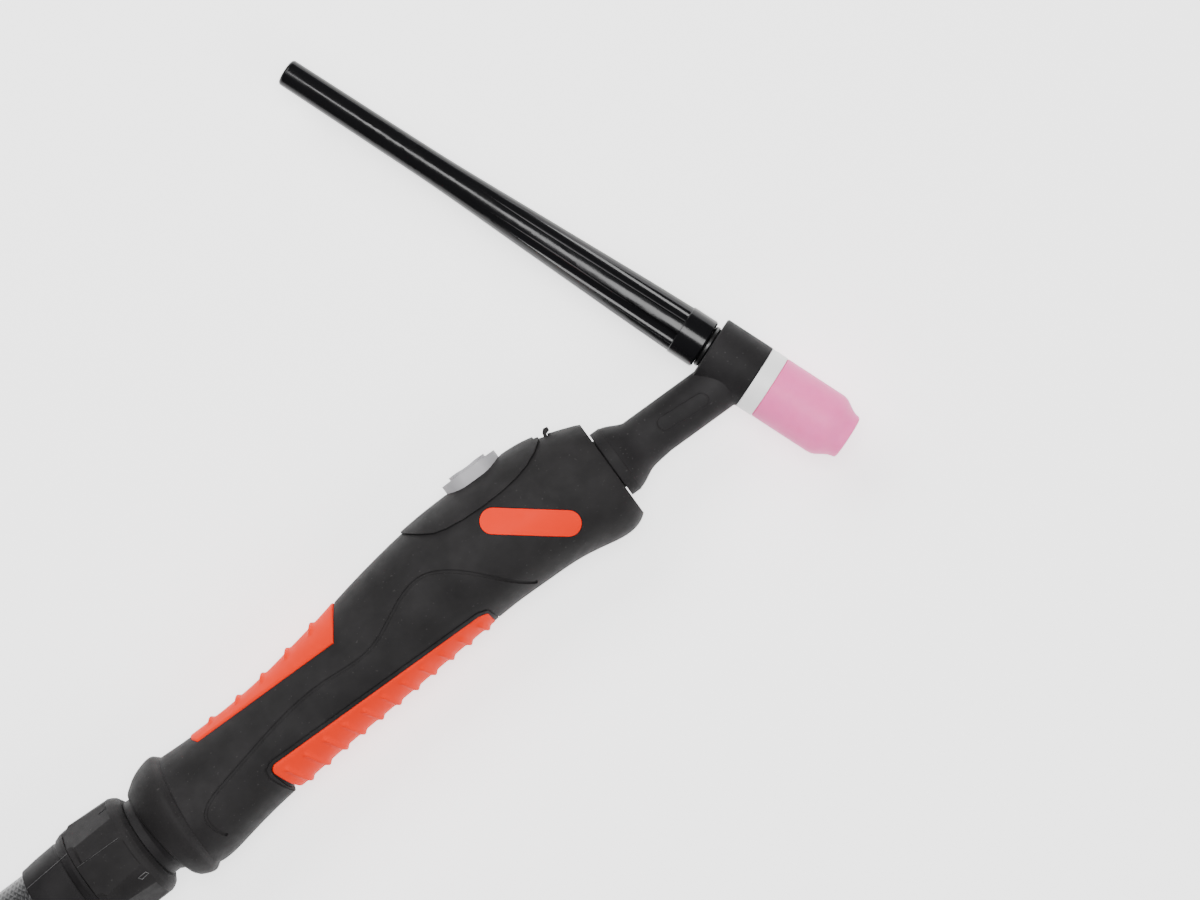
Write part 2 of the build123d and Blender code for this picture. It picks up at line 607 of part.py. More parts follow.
# ---------------------------------------------------------------- hose package
GATE = on_bench(HANK_RIGHT, HANK_T - OUTER_LANE, LOW)
HOSE_ROUTE = [
    on_bench(SLEEVE_BACK, 0, AXIS_HEIGHT),
    on_bench(-67, 0, AXIS_HEIGHT),
    on_bench(-91, -2.2, 18.4),
    on_bench(-119, -6.8, 16.1),
    on_bench(-151, -11.8, LOW),
    GATE,
]
TUBE_CUT = across(-92.0)
print("hose cover")
hose_path = tube(HOSE_ROUTE, COVER_R)
with BuildPart() as hose_cover:
    add(hose_path)
    split(bisect_by=TUBE_CUT, keep=Keep.TOP)
save(hose_cover, "hose_cover")

straight_run = HANK_RIGHT - HANK_LEFT
middle_of_hank = on_bench((HANK_RIGHT + HANK_LEFT) / 2, HANK_T, 0)
tail_centre = on_bench(HANK_LEFT, HANK_T - INNER_LANE + TAIL_R, LOW)
TAIL_CUT_ANGLE, TAIL_START_ANGLE = 131.0, 200.0


def tail_tube(start, end, run):
    """The hose's last turn inside the hank, between two angles, and a straight run after it."""
    with BuildPart() as body:
        with BuildLine(Plane(origin=tail_centre)) as route:
            bend = CenterArc((0, 0), TAIL_R, start, end - start)
            if run:
                Line(bend @ 1, (run, TAIL_R))
        with BuildSketch(Plane(origin=route.edges()[0] @ 0, z_dir=route.edges()[0] % 0)):
            Circle(COVER_R)
        sweep(path=route.wires()[0])
    return body.part


with BuildPart() as hose_coil:
    with BuildSketch(Plane(origin=middle_of_hank + Vector(0, 0, LIFT - 0.3))) as ring:
        SlotCenterToCenter(straight_run, 2 * (OUTER_LANE + COVER_R))
        SlotCenterToCenter(straight_run, 2 * (INNER_LANE - COVER_R), mode=Mode.SUBTRACT)
    extrude(ring.sketch, amount=2 * LANE + 0.8)
    add(split(hose_path, bisect_by=TUBE_CUT, keep=Keep.BOTTOM, mode=Mode.PRIVATE))
    add(tail_tube(TAIL_START_ANGLE, TAIL_CUT_ANGLE, 0))
save(hose_coil, "hose_coil")

with BuildPart() as hose_tail:
    add(tail_tube(TAIL_CUT_ANGLE, 90, TAIL_END - HANK_LEFT))
save(hose_tail, "hose_tail")

TIE_WIDTH, TIE_THICK = 25.0, 1.15
TIES = [(-350.0, -1), (-232.0, -1), (-372.0, 1)]
with BuildPart() as coil_ties:
    for s, lane_side in TIES:
        lane_middle = HANK_T + lane_side * (OUTER_LANE + INNER_LANE) / 2
        loop_height = LIFT + 2 * LANE + 1.9
        with BuildSketch(Plane(origin=on_bench(s, lane_middle, loop_height / 2), x_dir=(0, 1, 0),
                               z_dir=(1, 0, 0))) as band:
            Rectangle(2 * LANE + 2.5, loop_height)
            Rectangle(2 * LANE + 2.5 - 2 * TIE_THICK, loop_height - 2 * TIE_THICK,
                      mode=Mode.SUBTRACT)
        extrude(band.sketch, amount=TIE_WIDTH / 2, both=True)
save(coil_ties, "coil_ties")

TAIL_T = HANK_T - INNER_LANE + 2 * TAIL_R
BOOT = Plane(origin=on_bench(TAIL_END, TAIL_T, LOW), x_dir=(1, 0, 0), z_dir=(0, 0, 1))
BOOT_FRONT = TAIL_END + BOOT_LENGTH
LEAD_START = BOOT_FRONT - 2.0
with BuildPart() as breakout_boot:
    turned(BOOT, [(0, 0), (0, 14.9), (12, 14.6), (40, 13.6), (BOOT_LENGTH, 13.2),
                  (BOOT_LENGTH, 0)])
save(breakout_boot, "breakout_boot")

# The four lines lie side by side in the hank's hole, turn back round its end and fan out.
TURN_S, TURN_T = -190.0, 93.5


def lead_route(start, approach, lane, leave, rest):
    """A line's route: out of the boot, half a turn at its lane's radius, then to its plug."""
    corner = lane / math.cos(math.radians(22.5))
    bend = [
        on_bench(TURN_S + corner * math.cos(math.radians(a)),
                 TURN_T + corner * math.sin(math.radians(a)), rest)
        for a in (67.5, 22.5, -22.5, -67.5)
    ]
    return [on_bench(*p) for p in [start, *approach]] + bend + [on_bench(*p) for p in leave]


LEADS = {
    "power_lead": (5.5, lead_route((LEAD_START, 145, 10), [(-262, 146.6, 6.8), (-232, 147.2, 5.5)],
                                   53.5, [(-220, 42, 5.6), (-246, 50, 8.5), (-270, 54, 12.6)], 5.5)),
    "gas_lead": (3.5, lead_route((LEAD_START, 133.5, 11), [(-262, 136.5, 5.6), (-232, 137.4, 3.5)],
                                 43.7, [(-214, 54, 3.6), (-240, 67, 5.0), (-264, 75, 6.6)], 3.5)),
    "water_lead": (3.5, lead_route((LEAD_START, 134.5, 20), [(-262, 131.6, 12.5), (-232, 129.2, 3.7)],
                                   35.9, [(-212, 63, 3.6), (-234, 79, 5.2), (-256, 91, 7.1)], 3.5)),
    "control_lead": (2.5, lead_route((LEAD_START, 146, 23), [(-266, 152.5, 19), (-240, 155.9, 8)],
                                     62.3, [(-224, 31.4, 2.6), (-246, 32.6, 5), (-266, 34.2, 8.1)],
                                     2.5)),
}
plug_planes = {}
for name, (radius, route) in LEADS.items():
    print(name)
    with BuildPart() as lead:
        add(tube(route, radius))
        add(breakout_boot.part, mode=Mode.SUBTRACT)
    save(lead, name)
    aim = (route[-1] - route[-2]).normalized()
    plug_planes[name] = Plane(origin=route[-1], x_dir=aim, z_dir=aim.cross(Vector(0, 0, 1)))

PIN_R = 6.5
with BuildPart() as power_plug_body:
    turned(plug_planes["power_lead"], [(0, 0), (0, 7.0), (9, 8.0), (12, 12.2), (38, 12.2), (40, 11.6),
                                       (40, 0)])
save(power_plug_body, "power_plug_body")
with BuildPart() as power_plug_pin:
    turned(plug_planes["power_lead"], [(40, 0), (40, 8.6), (43, 8.6), (43, PIN_R), (64.5, PIN_R),
                                       (66, 5.2), (66, 0)])
    with Locations(plug_planes["power_lead"] * Location((61, PIN_R, 0))):
        Box(11.0, 3.4, 3.6, mode=Mode.SUBTRACT)
save(power_plug_pin, "power_plug_pin")


def hex_fitting(plane, size, tail_r, nose_r):
    """A hose union: barb ferrule, hexagon nut and threaded nose."""
    with BuildPart() as fitting:
        turned(plane, [(0, 0), (0, tail_r), (14, tail_r), (14, 0)])
        with BuildSketch(Plane(origin=plane.origin + plane.x_dir * 14, z_dir=plane.x_dir)) as nut:
            RegularPolygon(size, 6)
        extrude(nut.sketch, amount=9)
        turned(plane, [(23, 0), (23, nose_r), (30, nose_r), (31.5, nose_r - 1.4), (31.5, 0)])
    return fitting


gas_fitting = hex_fitting(plug_planes["gas_lead"], 6.4, 4.6, 4.8)
save(gas_fitting, "gas_fitting")
water_fitting = hex_fitting(plug_planes["water_lead"], 6.9, 4.9, 5.2)
save(water_fitting, "water_fitting")

with BuildPart() as control_plug:
    turned(plug_planes["control_lead"], [(0, 0), (0, 3.6), (8, 5.0), (11, 7.4), (27, 7.4), (27.6, 8.0),
                                         (37, 8.0), (37, 6.6), (31, 6.6), (31, 0)])
    with Locations(*[
        plug_planes["control_lead"] * Location((33.2, 3.4 * math.cos(a), 3.4 * math.sin(a)))
        for a in [math.radians(72 * n) for n in range(5)]
    ]):
        Cylinder(0.6, 4.6, rotation=(0, 90, 0))
save(control_plug, "control_plug")

# ---------------------------------------------------------------- what the numbers come to
torch = Compound([handle_left_shell.part, ceramic_cup.part, back_cap.part, cover_sleeve.part,
                  head_insulation.part]).bounding_box()
print("torch box", [round(v, 2) for v in (*torch.min, *torch.max)])
print("coil box", hose_coil.part.bounding_box())
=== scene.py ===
"""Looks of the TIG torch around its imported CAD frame: materials, soft inserts, hoses, ties and light."""

import math

import bpy
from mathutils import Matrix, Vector


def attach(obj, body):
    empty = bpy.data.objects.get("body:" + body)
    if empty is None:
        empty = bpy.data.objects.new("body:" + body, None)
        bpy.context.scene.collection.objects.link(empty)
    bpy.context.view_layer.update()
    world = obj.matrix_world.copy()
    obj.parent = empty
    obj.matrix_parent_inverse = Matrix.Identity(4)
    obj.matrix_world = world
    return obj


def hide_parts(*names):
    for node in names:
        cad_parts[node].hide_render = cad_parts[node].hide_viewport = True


MM = 0.001
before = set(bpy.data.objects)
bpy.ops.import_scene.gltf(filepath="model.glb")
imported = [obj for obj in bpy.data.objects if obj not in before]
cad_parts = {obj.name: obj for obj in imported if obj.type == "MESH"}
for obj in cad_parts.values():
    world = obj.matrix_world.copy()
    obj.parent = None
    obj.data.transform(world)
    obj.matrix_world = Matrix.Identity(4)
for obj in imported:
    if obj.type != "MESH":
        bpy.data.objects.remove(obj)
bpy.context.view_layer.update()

# ------------------------------------------------------------------ the CAD's own stations (mm)
MIDDLE_S, MIDDLE_T, AXIS_HEIGHT = 94.4, 68.85, 20.0
HEAD_ANGLE = math.radians(-69.1)
COVER_R, LIFT = 13.5, 1.5
LOW, HIGH = LIFT + COVER_R, LIFT + 3 * COVER_R
HANK_RIGHT, HANK_LEFT, HANK_T = -188.0, -395.0, 92.5
OUTER_LANE, INNER_LANE, TAIL_R, TAIL_END = 108.0, 81.0, 65.0, -335.0
LEAD_START = -292.0
GRIP = [
    (0.0, 17.6, -18.6, 17.9), (7.0, 17.7, -18.6, 17.7), (14.0, 17.5, -17.3, 17.0),
    (22.0, 17.6, -15.9, 16.2), (32.0, 18.0, -14.6, 15.4), (44.0, 19.2, -13.4, 14.8),
    (56.0, 21.2, -12.3, 14.7), (68.0, 23.4, -11.5, 15.0), (80.0, 26.0, -10.7, 15.6),
    (92.0, 28.2, -9.7, 16.2), (104.0, 29.9, -8.9, 16.8), (116.0, 30.8, -8.2, 17.3),
    (128.0, 31.0, -8.0, 17.5),
]


def on_bench(s, t, height):
    """A point over the bench, in metres, from the grip's stations."""
    return Vector((s - MIDDLE_S, t - MIDDLE_T, height)) * MM


def at(s, t, z=0.0):
    """A point of the grip's stations, z from its mid-plane, in metres."""
    return on_bench(s, t, AXIS_HEIGHT + z)


def smooth(x):
    """0 below 0, 1 above 1, and an S between them."""
    x = min(1.0, max(0.0, x))
    return x * x * (3 - 2 * x)


# ------------------------------------------------------------------ materials
class Nodes:
    """A short way to write a node tree."""

    def __init__(self, name):
        self.material = bpy.data.materials.new(name)
        self.material.use_nodes = True
        self.tree = self.material.node_tree
        self.shader = self.tree.nodes["Principled BSDF"]
        coordinates = self.add("ShaderNodeTexCoord")
        self.place = coordinates.outputs["Object"]

    def add(self, kind, **settings):
        node = self.tree.nodes.new(kind)
        for key, value in settings.items():
            if key in node.inputs:
                node.inputs[key].default_value = value
            else:
                setattr(node, key, value)
        return node

    def link(self, output, node, socket):
        self.tree.links.new(output, node.inputs[socket])

    def noise(self, scale, detail=2.0, roughness=0.5, stretch=None):
        node = self.add("ShaderNodeTexNoise", Scale=scale, Detail=detail, Roughness=roughness)
        source = self.place
        if stretch:
            mapping = self.add("ShaderNodeMapping")
            mapping.inputs["Scale"].default_value = stretch[0]
            mapping.inputs["Rotation"].default_value = stretch[1]
            self.link(self.place, mapping, "Vector")
            source = mapping.outputs["Vector"]
        self.link(source, node, "Vector")
        return node.outputs["Fac"]

    def ramp(self, source, low, high, low_value, high_value):
        node = self.add("ShaderNodeMapRange")
        for key, value in (("From Min", low), ("From Max", high), ("To Min", low_value),
                           ("To Max", high_value)):
            node.inputs[key].default_value = value
        self.link(source, node, "Value")
        return node.outputs["Result"]

    def blend(self, factor, first, second):
        node = self.add("ShaderNodeMix", data_type="RGBA")
        self.link(factor, node, "Factor")
        node.inputs[6].default_value = (*first, 1)
        node.inputs[7].default_value = (*second, 1)
        return node.outputs[2]

    def combine(self, first, second, operation="ADD"):
        node = self.add("ShaderNodeMath", operation=operation)
        for slot, value in enumerate((first, second)):
            if isinstance(value, float):
                node.inputs[slot].default_value = value
            else:
                self.tree.links.new(value, node.inputs[slot])
        return node.outputs[0]

    def bump(self, layers, edge=0.0):
        """Bump layers of (height, depth in metres), on edges rounded by a radius."""
        normal = None
        if edge:
            rounded = self.add("ShaderNodeBevel", samples=4)
            rounded.inputs["Radius"].default_value = edge
            normal = rounded.outputs["Normal"]
        for height, depth in layers:
            node = self.add("ShaderNodeBump")
            node.inputs["Distance"].default_value = depth
            node.inputs["Strength"].default_value = 1.0
            self.link(height, node, "Height")
            if normal:
                self.link(normal, node, "Normal")
            normal = node.outputs["Normal"]
        self.link(normal, self.shader, "Normal")

    def set(self, **values):
        for key, value in values.items():
            self.shader.inputs[key.replace("_", " ")].default_value = value
        return self


def moulded(name, color, rough, grain=0.00004, shift=0.25, edge=0.00035, specular=0.5, dust=0.0):
    """Moulded plastic or rubber: a fine spark-eroded grain, faint cloudiness and soft edges."""
    m = Nodes(name)
    cloud = m.noise(90.0, 3.0)
    grain_noise = m.noise(4200.0, 2.0, 0.6)
    dark = tuple(c * (1 - shift) for c in color)
    light = tuple(min(1.0, c * (1 + shift)) for c in color)
    tone = m.blend(m.ramp(cloud, 0.3, 0.7, 0.0, 1.0), dark, light)
    if dust:
        specks = m.ramp(m.noise(1500.0, 0.0), 0.79, 0.83, 0.0, dust)
        node = m.add("ShaderNodeMix", data_type="RGBA")
        m.link(specks, node, "Factor")
        m.tree.links.new(tone, node.inputs[6])
        node.inputs[7].default_value = (0.35, 0.34, 0.33, 1)
        tone = node.outputs[2]
    m.link(tone, m.shader, "Base Color")
    m.link(m.ramp(m.noise(300.0, 3.0), 0.3, 0.7, rough - 0.05, rough + 0.06), m.shader, "Roughness")
    m.bump([(grain_noise, grain)], edge)
    return m.set(Specular_IOR_Level=specular).material


def gloss(name, color, rough=0.12):
    """Polished moulded plastic with faint polishing marks along it."""
    m = Nodes(name)
    marks = m.noise(260.0, 4.0, 0.6, ((1.0, 0.12, 1.0), (0, 0, -HEAD_ANGLE)))
    m.link(m.ramp(marks, 0.3, 0.75, rough, rough + 0.12), m.shader, "Roughness")
    m.link(m.blend(m.noise(70.0, 2.0), color, tuple(c * 1.6 for c in color)), m.shader, "Base Color")
    m.bump([(marks, 0.00002)], 0.0002)
    return m.set(Specular_IOR_Level=0.22).material


def ceramic(name, color, shade):
    """Unglazed pressed alumina: slight mottling, fine pores and a soft glow under the surface."""
    m = Nodes(name)
    mottled = m.ramp(m.noise(160.0, 5.0, 0.6), 0.35, 0.7, 0.0, 1.0)
    m.link(m.blend(mottled, color, shade), m.shader, "Base Color")
    pores = m.noise(2600.0, 3.0, 0.6)
    m.link(m.ramp(m.noise(500.0, 2.0), 0.3, 0.7, 0.36, 0.5), m.shader, "Roughness")
    m.bump([(pores, 0.00002)], 0.0003)
    return m.set(Subsurface_Weight=0.1, Subsurface_Scale=0.001, Specular_IOR_Level=0.15).material


def metal(name, color, rough=0.28, turned_axis=None):
    """Turned or drawn metal with fine machining marks."""
    m = Nodes(name)
    marks = m.noise(900.0, 4.0, 0.7, ((1.0, 0.08, 0.08), (0, 0, turned_axis or 0.0)))
    m.link(m.ramp(marks, 0.3, 0.7, rough - 0.08, rough + 0.14), m.shader, "Roughness")
    tarnish = m.ramp(m.noise(140.0, 4.0), 0.35, 0.75, 0.0, 1.0)
    m.link(m.blend(tarnish, color, tuple(c * 0.72 for c in color)), m.shader, "Base Color")
    m.bump([(marks, 0.00002)], 0.0002)
    return m.set(Metallic=1.0).material


def woven(name, color, painted_glint_color, cell=1500.0, crease=0.0009):
    """Coated woven cover: crossed yarns, soft creases and the odd glint, painted into the base colour as
    lighter specks on the yarn tops.
    """
    m = Nodes(name)
    yarns = []
    for turn in (0.62, -0.62):
        mapping = m.add("ShaderNodeMapping")
        mapping.inputs["Rotation"].default_value = (0, 0, turn)
        m.link(m.place, mapping, "Vector")
        wave = m.add("ShaderNodeTexWave", wave_type="BANDS", bands_direction="X")
        wave.inputs["Scale"].default_value = cell / 6.28
        wave.inputs["Distortion"].default_value = 0.6
        m.link(mapping.outputs["Vector"], wave, "Vector")
        yarns.append(wave.outputs["Fac"])
    weave = m.combine(yarns[0], yarns[1], "MAXIMUM")
    creases = m.noise(120.0, 4.0, 0.55, ((1.0, 0.35, 0.35), (0, 0, 0)))
    # painted glints: random specks on the raised yarns, made lighter in the base colour
    painted_glint_mask = m.ramp(m.noise(900.0, 1.0), 0.68, 0.74, 0.0, 1.0)
    m.link(m.blend(m.combine(painted_glint_mask, weave, "MULTIPLY"), color, painted_glint_color), m.shader, "Base Color")
    m.link(m.ramp(weave, 0.0, 1.0, 0.62, 0.36), m.shader, "Roughness")
    m.bump([(creases, crease), (weave, 0.00018)])
    return m.set(Sheen_Weight=0.15).material


grip_black = moulded("grip_black", (0.0155, 0.0146, 0.015), 0.6, specular=0.12, dust=0.05)
knuckle_black = moulded("knuckle_black", (0.0140, 0.0132, 0.0138), 0.55, grain=0.00003, specular=0.12)
insulation_black = moulded("insulation_black", (0.0150, 0.0142, 0.0148), 0.6, specular=0.12, dust=0.06)
insert_orange = moulded("insert_orange", (0.82, 0.022, 0.0), 0.6, grain=0.00003, shift=0.03, specular=0.08)
badge_orange = moulded("badge_orange", (0.88, 0.022, 0.0), 0.5, grain=0.00001, shift=0.02, specular=0.08)
# painted highlight: a light grey for the fine raised lines on the black sleeve and nut, standing in for
# the light along their ridges
ridge_highlight_grey = moulded("ridge_highlight_grey", (0.09, 0.088, 0.09), 0.5, grain=0.00001)
button_grey = moulded("button_grey", (0.34, 0.333, 0.348), 0.5, grain=0.00003, shift=0.06)
switch_case = moulded("switch_case", (0.03, 0.03, 0.034), 0.45)
boot_rubber = moulded("boot_rubber", (0.02, 0.02, 0.021), 0.6)
o_ring_black = moulded("o_ring_black", (0.008, 0.008, 0.008), 0.35, grain=0.00001)
ptfe_white = moulded("ptfe_white", (0.97, 0.97, 0.97), 0.42, grain=0.00002, shift=0.02)
hose_black = moulded("hose_black", (0.02, 0.02, 0.02), 0.45)
hose_red = moulded("hose_red", (0.42, 0.02, 0.018), 0.42, shift=0.12)
hose_blue = moulded("hose_blue", (0.02, 0.07, 0.32), 0.42, shift=0.12)
cap_black = gloss("cap_black", (0.004, 0.004, 0.0045))
cup_pink = ceramic("cup_pink", (1.0, 0.18, 0.46), (0.95, 0.155, 0.42))
brass = metal("brass", (0.78, 0.56, 0.24))
copper = metal("copper", (0.80, 0.42, 0.28))
steel = metal("steel", (0.58, 0.58, 0.6))
# the third colour of each woven finish is its painted glint on the yarn tops
cover_fabric = woven("cover_fabric", (0.012, 0.012, 0.013), (0.12, 0.12, 0.125))
tie_black = woven("tie_black", (0.014, 0.014, 0.015), (0.05, 0.05, 0.05), 3200.0, 0.0002)

LOOKS = {
    grip_black: ["handle_left_shell", "handle_right_shell", "switch_housing", "switch_release_tab",
                 "clamp_nut"],
    knuckle_black: ["knuckle_ball", "cover_sleeve", "knuckle_seat_ring"],
    insulation_black: ["head_insulation"],
    badge_orange: ["name_badge"],
    button_grey: ["trigger_button"],
    switch_case: ["microswitch", "control_plug"],
    boot_rubber: ["breakout_boot", "power_plug_body"],
    o_ring_black: ["back_cap_o_ring"],
    ptfe_white: ["insulator_ring"],
    hose_black: ["package_gas_hose", "package_switch_cable", "switch_wires", "handle_gas_hose"],
    hose_red: ["package_power_hose", "handle_power_hose"],
    hose_blue: ["package_water_hose", "handle_water_hose"],
    cap_black: ["back_cap"],
    cup_pink: ["ceramic_cup"],
    brass: ["head_core", "tube_nuts", "power_plug_pin", "gas_fitting", "water_fitting"],
    copper: ["head_power_tube", "head_gas_tube", "head_water_tube", "collet", "collet_body"],
    steel: ["shell_screws", "switch_plunger"],
}
for look, names in LOOKS.items():
    for name in names:
        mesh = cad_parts[name].data
        mesh.materials.clear()
        mesh.materials.append(look)


def new_object(name, data, body, look):
    """A new piece that rides on a body and takes its finish from a slot."""
    data.materials.append(look)
    piece = bpy.data.objects.new(name, data)
    bpy.context.scene.collection.objects.link(piece)
    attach(piece, body)
    return piece


def mesh_piece(name, points, faces, body, look):
    mesh = bpy.data.meshes.new(name)
    mesh.from_pydata(points, [], faces)
    mesh.update()
    for polygon in mesh.polygons:
        polygon.use_smooth = True
    return new_object(name, mesh, body, look)


# ------------------------------------------------------------------ camera
VIEW_S, VIEW_T, VIEW_WIDTH, ROLL = 168.4, 14.9, 367.0, math.radians(36.0)
lens = bpy.data.cameras.new("camera")
lens.lens, lens.sensor_width, lens.sensor_fit = 100.0, 36.0, "HORIZONTAL"
camera = bpy.data.objects.new("camera", lens)
bpy.context.scene.collection.objects.link(camera)
camera.location = at(VIEW_S, VIEW_T, VIEW_WIDTH * lens.lens / lens.sensor_width)
camera.rotation_euler = (0, 0, -ROLL)
bpy.context.scene.camera = camera
across_view = Vector((math.cos(ROLL), -math.sin(ROLL), 0))
up_view = Vector((math.sin(ROLL), math.cos(ROLL), 0))


# ------------------------------------------------------------------ hoses
def nurbs(name, points, radius, body, look, resolution=6):
    """A round hose on one smooth line, with the points as its control points."""
    curve = bpy.data.curves.new(name, "CURVE")
    curve.dimensions = "3D"
    line = curve.splines.new("NURBS")
    line.points.add(len(points) - 1)
    for control, point in zip(line.points, points):
        control.co = (*point, 1)
    line.order_u = 3
    line.use_endpoint_u = True
    curve.resolution_u = resolution
    curve.bevel_depth = radius * MM
    curve.bevel_resolution = 8
    curve.use_fill_caps = True
    return new_object(name, curve, body, look)


ARC_STEPS = 12
RUN = [-14.2, -70.0, -137.0, -192.8]


def lap(lane_and_height):
    """Control points of one lap of the hank: out along the near side, back along the far one."""
    points = []
    step = math.pi / ARC_STEPS
    for s in RUN:
        lane, height = lane_and_height("near", s)
        points.append(on_bench(HANK_RIGHT + s, HANK_T - lane, height))
    for n in range(ARC_STEPS):
        angle = -math.pi / 2 - (n + 0.5) * step
        lane, height = lane_and_height("left", angle)
        reach = lane / math.cos(step / 2)
        points.append(on_bench(HANK_LEFT + reach * math.cos(angle),
                               HANK_T + reach * math.sin(angle), height))
    for s in reversed(RUN):
        lane, height = lane_and_height("far", s)
        points.append(on_bench(HANK_RIGHT + s, HANK_T + lane, height))
    for n in range(ARC_STEPS):
        angle = math.pi / 2 - (n + 0.5) * step
        lane, height = lane_and_height("right", angle)
        reach = lane / math.cos(step / 2)
        points.append(on_bench(HANK_RIGHT + reach * math.cos(angle),
                               HANK_T + reach * math.sin(angle), height))
    return points


def first_lap(where, x):
    """Outer and low, rising to outer and high at the end of the right bend."""
    rise = smooth((math.radians(22) - x) / math.radians(67)) if where == "right" else 0.0
    return OUTER_LANE, LOW + (HIGH - LOW) * rise


def second_lap(where, x):
    """Outer and high, moving in at the start of the right bend."""
    shift = smooth((math.radians(90) - x) / math.radians(68)) if where == "right" else 0.0
    return OUTER_LANE + (INNER_LANE - OUTER_LANE) * shift, HIGH


def third_lap(where, x):
    """Inner and high, dropping down along the far side."""
    drop = {"near": 0.0, "left": 0.0, "right": 1.0}.get(where, smooth((x + 142.0) / 130.0))
    return INNER_LANE, HIGH + (LOW - HIGH) * drop


entry = [
    on_bench(-50.0, 0, AXIS_HEIGHT),
    on_bench(-67, 0, AXIS_HEIGHT),
    on_bench(-91, -2.2, 18.4),
    on_bench(-119, -6.8, 16.1),
    on_bench(-151, -11.8, LOW),
]
last_run = [on_bench(HANK_RIGHT + s, HANK_T - INNER_LANE, LOW) for s in RUN[:-1]]
last_run.append(on_bench(HANK_LEFT + 11.4, HANK_T - INNER_LANE, LOW))
tail_step = math.pi / ARC_STEPS
last_bend = [
    on_bench(HANK_LEFT + TAIL_R / math.cos(tail_step / 2) * math.cos(a),
             HANK_T - INNER_LANE + TAIL_R + TAIL_R / math.cos(tail_step / 2) * math.sin(a), LOW)
    for a in [-math.pi / 2 - (n + 0.5) * tail_step for n in range(ARC_STEPS)]
]
TAIL_T = HANK_T - INNER_LANE + 2 * TAIL_R
last_end = [on_bench(HANK_LEFT + 20, TAIL_T, LOW), on_bench(TAIL_END, TAIL_T, LOW)]
hose_points = (entry + lap(first_lap) + lap(second_lap) + lap(third_lap)
               + last_run + last_bend + last_end)
hose = nurbs("hose", hose_points, COVER_R, "hose_package", cover_fabric)
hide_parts("hose_cover", "hose_coil", "hose_tail")


def length_of(points):
    """Length of the smooth line that a list of control points gives."""
    total, last = 0.0, points[0]
    corners = [points[0], *points[1:-1], points[-1]]
    for n in range(1, len(corners) - 1):
        start = corners[0] if n == 1 else (corners[n - 1] + corners[n]) / 2
        end = corners[-1] if n == len(corners) - 2 else (corners[n] + corners[n + 1]) / 2
        for k in range(1, 9):
            u = k / 8
            here = start * (1 - u) ** 2 + corners[n] * 2 * u * (1 - u) + end * u * u
            total += (here - last).length
            last = here
    return total


length_of(hose_points)

TURN_S, TURN_T = -190.0, 93.5


def lead_route(start, approach, lane, leave, rest):
    """A line's route: out of the boot, half a turn at its lane's radius, then to its plug."""
    corner = lane / math.cos(math.radians(22.5))
    bend = [
        on_bench(TURN_S + corner * math.cos(math.radians(a)),
                 TURN_T + corner * math.sin(math.radians(a)), rest)
        for a in (67.5, 22.5, -22.5, -67.5)
    ]
    return [on_bench(*p) for p in [start, *approach]] + bend + [on_bench(*p) for p in leave]


LEADS = {
    "power": (5.5, hose_red, "hose_red", ["power_plug_body", "power_plug_pin"], lead_route(
        (LEAD_START, 145, 10), [(-262, 146.6, 6.8), (-232, 147.2, 5.5)], 53.5,
        [(-220, 42, 5.6), (-246, 50, 8.5), (-270, 54, 12.6)], 5.5)),
    "gas": (3.5, hose_black, "hose_black", ["gas_fitting"], lead_route(
        (LEAD_START, 133.5, 11), [(-262, 136.5, 5.6), (-232, 137.4, 3.5)], 43.7,
        [(-214, 54, 3.6), (-240, 67, 5.0), (-264, 75, 6.6)], 3.5)),
    "water": (3.5, hose_blue, "hose_blue", ["water_fitting"], lead_route(
        (LEAD_START, 134.5, 20), [(-262, 131.6, 12.5), (-232, 129.2, 3.7)], 35.9,
        [(-212, 63, 3.6), (-234, 79, 5.2), (-256, 91, 7.1)], 3.5)),
    "control": (2.5, hose_black, "hose_black", ["control_plug"], lead_route(
        (LEAD_START, 146, 23), [(-266, 152.5, 19), (-240, 155.9, 8)], 62.3,
        [(-224, 31.4, 2.6), (-246, 32.6, 5), (-266, 34.2, 8.1)], 2.5)),
}
for line, (radius, look, slot, ends, route) in LEADS.items():
    lead = nurbs(f"{line}_line", route, radius, "hose_package", look, 10)
    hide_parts(f"{line}_lead")
    length_of(route)

# ------------------------------------------------------------------ ties round the hank
TIES = [(-350.0, -1), (-232.0, -1), (-372.0, 1)]


def tie(name, s, side):
    """A woven strap pulled round the strands, drawn as a closed band without its lapped end."""
    middle_t = HANK_T + side * (OUTER_LANE + INNER_LANE) / 2
    middle_z = (LIFT * 2 + 4 * COVER_R) / 2
    half, width, thick = 2 * COVER_R, 25.0, 1.1
    loop = []
    for corner in range(4):
        turn = math.pi / 2 * corner
        for k in range(9):
            angle = turn + math.pi / 2 * k / 8
            centre = (half - COVER_R) * math.sqrt(2)
            loop.append((centre * math.cos(turn + math.pi / 4) + COVER_R * math.cos(angle),
                         centre * math.sin(turn + math.pi / 4) + COVER_R * math.sin(angle)))
    points, faces = [], []
    rims = [(-width / 2, 0.15), (-width / 2, thick - 0.2), (-width / 2 + 0.5, thick),
            (width / 2 - 0.5, thick), (width / 2, thick - 0.2), (width / 2, 0.15)]
    for x, out in rims:
        for y, z in loop:
            size = math.hypot(y, z)
            grow = (size + out) / size
            points.append(on_bench(s + x, middle_t + y * grow, middle_z + z * grow))
    count = len(loop)
    for r in range(len(rims)):
        for n in range(count):
            a, b = r * count + n, r * count + (n + 1) % count
            c, d = ((r + 1) % len(rims)) * count + (n + 1) % count, ((r + 1) % len(rims)) * count + n
            faces.append((a, b, c, d))
    return mesh_piece(name, points, faces, "hose_package", tie_black)


ties = [tie(f"hank_tie_{n + 1}", s, side) for n, (s, side) in enumerate(TIES)]
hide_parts("coil_ties")


